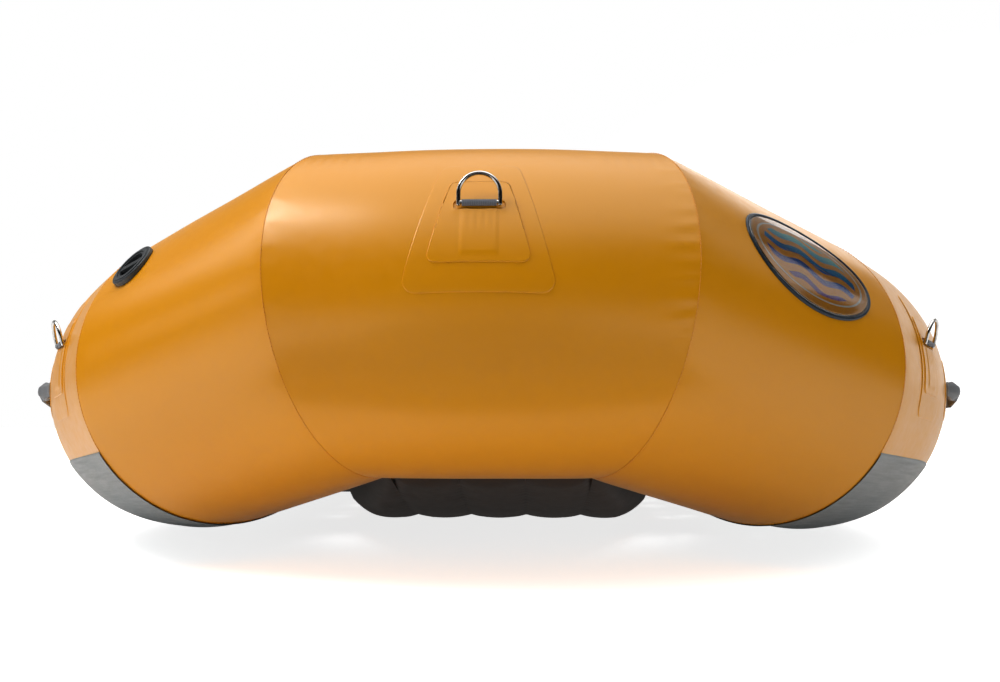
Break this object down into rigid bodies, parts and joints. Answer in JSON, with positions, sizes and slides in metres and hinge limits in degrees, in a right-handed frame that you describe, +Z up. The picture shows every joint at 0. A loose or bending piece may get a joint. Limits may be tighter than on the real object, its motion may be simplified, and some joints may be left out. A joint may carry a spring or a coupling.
{
  "type": "inflatable raft",
  "caption": "Inflatable self-bailing river raft with upswept welded ends, ribbed air floor, thwarts, swinging D-rings, carry handles and sprung inflation valves.",
  "frame": {"origin": "on the ground under the middle of the boat's bounding box", "axes": "+Y from bow to stern along the boat's length, +X to the right as seen from in front of the bow, +Z up"},
  "size_m": [1.9054, 4.0622, 0.688],
  "materials": {
    "hull_fabric": "satin coated fabric, golden orange, fine weave showing through",
    "floor_fabric": "matt coated fabric, dark brown grey",
    "chafe_grey": "satin grey wear layer",
    "grey_rubber": "moulded, matt",
    "webbing": "woven webbing, grey",
    "steel": "polished stainless",
    "valve_plastic": "moulded, dark grey",
    "seal_rubber": "matt",
    "spring_steel": "drawn wire",
    "badge_print": "plain printed bands under a clear dome",
    "badge_rim": "moulded, dark",
    "clear_dome": "clear, glossy"
  },
  "bodies": {
    "raft": {"bow_centre_panel": "hull_fabric", "bow_left_panel": "hull_fabric", "left_bow_kick_panel": "hull_fabric", "bow_right_panel": "hull_fabric", "right_bow_kick_panel": "hull_fabric", "stern_centre_panel": "hull_fabric", "stern_left_panel": "hull_fabric", "left_stern_kick_panel": "hull_fabric", "stern_right_panel": "hull_fabric", "right_stern_kick_panel": "hull_fabric", "left_side_panel": "hull_fabric", "left_chafe_strip": "chafe_grey", "right_side_panel": "hull_fabric", "right_chafe_strip": "chafe_grey", "chamber_baffles": "hull_fabric", "floor_skin": "floor_fabric", "floor_webs": "floor_fabric", "floor_flange": "floor_fabric", "front_thwart": "hull_fabric", "rear_thwart": "hull_fabric", "thwart_collars": "hull_fabric", "ring_webbing": "webbing", "ring_base_patches": "hull_fabric", "ring_cover_patches": "hull_fabric", "carry_handles": "grey_rubber", "handle_patches": "hull_fabric", "badge_plate": "badge_print", "badge_rim": "badge_rim", "badge_dome": "clear_dome", "valve_bodies": "valve_plastic", "valve_gaskets": "seal_rubber", "valve_nuts": "valve_plastic", "valve_springs": "spring_steel", "relief_valve_body": "valve_plastic", "relief_valve_spring": "spring_steel"},
    "bow_d_ring": {"bow_d_ring": "steel"},
    "stern_d_ring": {"stern_d_ring": "steel"},
    "left_front_d_ring": {"left_front_d_ring": "steel"},
    "left_rear_d_ring": {"left_rear_d_ring": "steel"},
    "left_middle_d_ring": {"left_middle_d_ring": "steel"},
    "right_front_d_ring": {"right_front_d_ring": "steel"},
    "right_rear_d_ring": {"right_rear_d_ring": "steel"},
    "right_middle_d_ring": {"right_middle_d_ring": "steel"},
    "bow_valve_cap": {"bow_valve_cap": "valve_plastic"},
    "bow_valve_plunger": {"bow_valve_plunger": "valve_plastic"},
    "stern_valve_cap": {"stern_valve_cap": "valve_plastic"},
    "stern_valve_plunger": {"stern_valve_plunger": "valve_plastic"},
    "left_valve_cap": {"left_valve_cap": "valve_plastic"},
    "left_valve_plunger": {"left_valve_plunger": "valve_plastic"},
    "right_valve_cap": {"right_valve_cap": "valve_plastic"},
    "right_valve_plunger": {"right_valve_plunger": "valve_plastic"},
    "floor_valve_cap": {"floor_valve_cap": "valve_plastic"},
    "floor_valve_plunger": {"floor_valve_plunger": "valve_plastic"},
    "front_thwart_valve_cap": {"front_thwart_valve_cap": "valve_plastic"},
    "front_thwart_valve_plunger": {"front_thwart_valve_plunger": "valve_plastic"},
    "rear_thwart_valve_cap": {"rear_thwart_valve_cap": "valve_plastic"},
    "rear_thwart_valve_plunger": {"rear_thwart_valve_plunger": "valve_plastic"},
    "relief_valve_poppet": {"relief_valve_poppet": "valve_plastic"}
  },
  "joints": [
    {"name": "bow_ring_swing", "type": "hinge", "parent": "raft", "child": "bow_d_ring", "pos_m": [0, -1.99947, 0.56166], "axis": [1, 0, 0], "range_deg": [-34.6, 153.4]},
    {"name": "stern_ring_swing", "type": "hinge", "parent": "raft", "child": "stern_d_ring", "pos_m": [0, 1.99947, 0.56166], "axis": [1, 0, 0], "range_deg": [-153.4, 34.6]},
    {"name": "left_front_ring_swing", "type": "hinge", "parent": "raft", "child": "left_front_d_ring", "pos_m": [-0.78164, -1.5726, 0.38753], "axis": [-0.5191, 0.8514, -0.0747], "range_deg": [-155.9, 32.1]},
    {"name": "left_rear_ring_swing", "type": "hinge", "parent": "raft", "child": "left_rear_d_ring", "pos_m": [-0.78164, 1.5726, 0.38753], "axis": [-0.5191, -0.8514, -0.0747], "range_deg": [-32.1, 155.9]},
    {"name": "left_middle_ring_swing", "type": "hinge", "parent": "raft", "child": "left_middle_d_ring", "pos_m": [-0.93919, 0, 0.33216], "axis": [0, 1, 0], "range_deg": [-155.9, 32.1]},
    {"name": "right_front_ring_swing", "type": "hinge", "parent": "raft", "child": "right_front_d_ring", "pos_m": [0.78164, -1.5726, 0.38753], "axis": [0.5191, 0.8514, -0.0747], "range_deg": [-32.1, 155.9]},
    {"name": "right_rear_ring_swing", "type": "hinge", "parent": "raft", "child": "right_rear_d_ring", "pos_m": [0.78164, 1.5726, 0.38753], "axis": [0.5191, -0.8514, -0.0747], "range_deg": [-155.9, 32.1]},
    {"name": "right_middle_ring_swing", "type": "hinge", "parent": "raft", "child": "right_middle_d_ring", "pos_m": [0.93919, 0, 0.33216], "axis": [0, 1, 0], "range_deg": [-32.1, 155.9]},
    {"name": "bow_cap_turn", "type": "hinge", "parent": "raft", "child": "bow_valve_cap", "pos_m": [-0.59488, -1.72257, 0.50892], "axis": [-0.5765, -0.5364, 0.6164], "range_deg": [0, 90]},
    {"name": "bow_plunger_push", "type": "slide", "parent": "raft", "child": "bow_valve_plunger", "axis": [0.5765, 0.5364, -0.6164], "range_m": [0, 0.0045], "stiffness_N_per_m": 800, "springref_m": -0.004, "deforming": ["valve_springs"]},
    {"name": "stern_cap_turn", "type": "hinge", "parent": "raft", "child": "stern_valve_cap", "pos_m": [0.59488, 1.72257, 0.50892], "axis": [0.5765, 0.5364, 0.6164], "range_deg": [0, 90]},
    {"name": "stern_plunger_push", "type": "slide", "parent": "raft", "child": "stern_valve_plunger", "axis": [-0.5765, -0.5364, -0.6164], "range_m": [0, 0.0045], "stiffness_N_per_m": 800, "springref_m": -0.004, "deforming": ["valve_springs"]},
    {"name": "left_cap_turn", "type": "hinge", "parent": "raft", "child": "left_valve_cap", "pos_m": [-0.50466, -0.23, 0.4688], "axis": [0.6428, 0, 0.766], "range_deg": [0, 90]},
    {"name": "left_plunger_push", "type": "slide", "parent": "raft", "child": "left_valve_plunger", "axis": [-0.6428, 0, -0.766], "range_m": [0, 0.0045], "stiffness_N_per_m": 800, "springref_m": -0.004, "deforming": ["valve_springs"]},
    {"name": "right_cap_turn", "type": "hinge", "parent": "raft", "child": "right_valve_cap", "pos_m": [0.50466, 0.23, 0.4688], "axis": [-0.6428, 0, 0.766], "range_deg": [0, 90]},
    {"name": "right_plunger_push", "type": "slide", "parent": "raft", "child": "right_valve_plunger", "axis": [0.6428, 0, -0.766], "range_m": [0, 0.0045], "stiffness_N_per_m": 800, "springref_m": -0.004, "deforming": ["valve_springs"]},
    {"name": "floor_cap_turn", "type": "hinge", "parent": "raft", "child": "floor_valve_cap", "pos_m": [0, 0.8, 0.14], "axis": [0, 0, 1], "range_deg": [0, 90]},
    {"name": "floor_plunger_push", "type": "slide", "parent": "raft", "child": "floor_valve_plunger", "axis": [0, 0, -1], "range_m": [0, 0.0045], "stiffness_N_per_m": 800, "springref_m": -0.004, "deforming": ["valve_springs"]},
    {"name": "front_thwart_cap_turn", "type": "hinge", "parent": "raft", "child": "front_thwart_valve_cap", "pos_m": [-0.24, -0.49, 0.42124], "axis": [0, 0.5, 0.866], "range_deg": [0, 90]},
    {"name": "front_thwart_plunger_push", "type": "slide", "parent": "raft", "child": "front_thwart_valve_plunger", "axis": [0, -0.5, -0.866], "range_m": [0, 0.0045], "stiffness_N_per_m": 800, "springref_m": -0.004, "deforming": ["valve_springs"]},
    {"name": "rear_thwart_cap_turn", "type": "hinge", "parent": "raft", "child": "rear_thwart_valve_cap", "pos_m": [0.24, 0.49, 0.42124], "axis": [0, -0.5, 0.866], "range_deg": [0, 90]},
    {"name": "rear_thwart_plunger_push", "type": "slide", "parent": "raft", "child": "rear_thwart_valve_plunger", "axis": [0, 0.5, -0.866], "range_m": [0, 0.0045], "stiffness_N_per_m": 800, "springref_m": -0.004, "deforming": ["valve_springs"]},
    {"name": "relief_poppet_lift", "type": "slide", "parent": "raft", "child": "relief_valve_poppet", "axis": [0, 0, 1], "range_m": [0, 0.004], "stiffness_N_per_m": 600, "springref_m": -0.004, "deforming": ["relief_valve_spring"]}
  ]
}
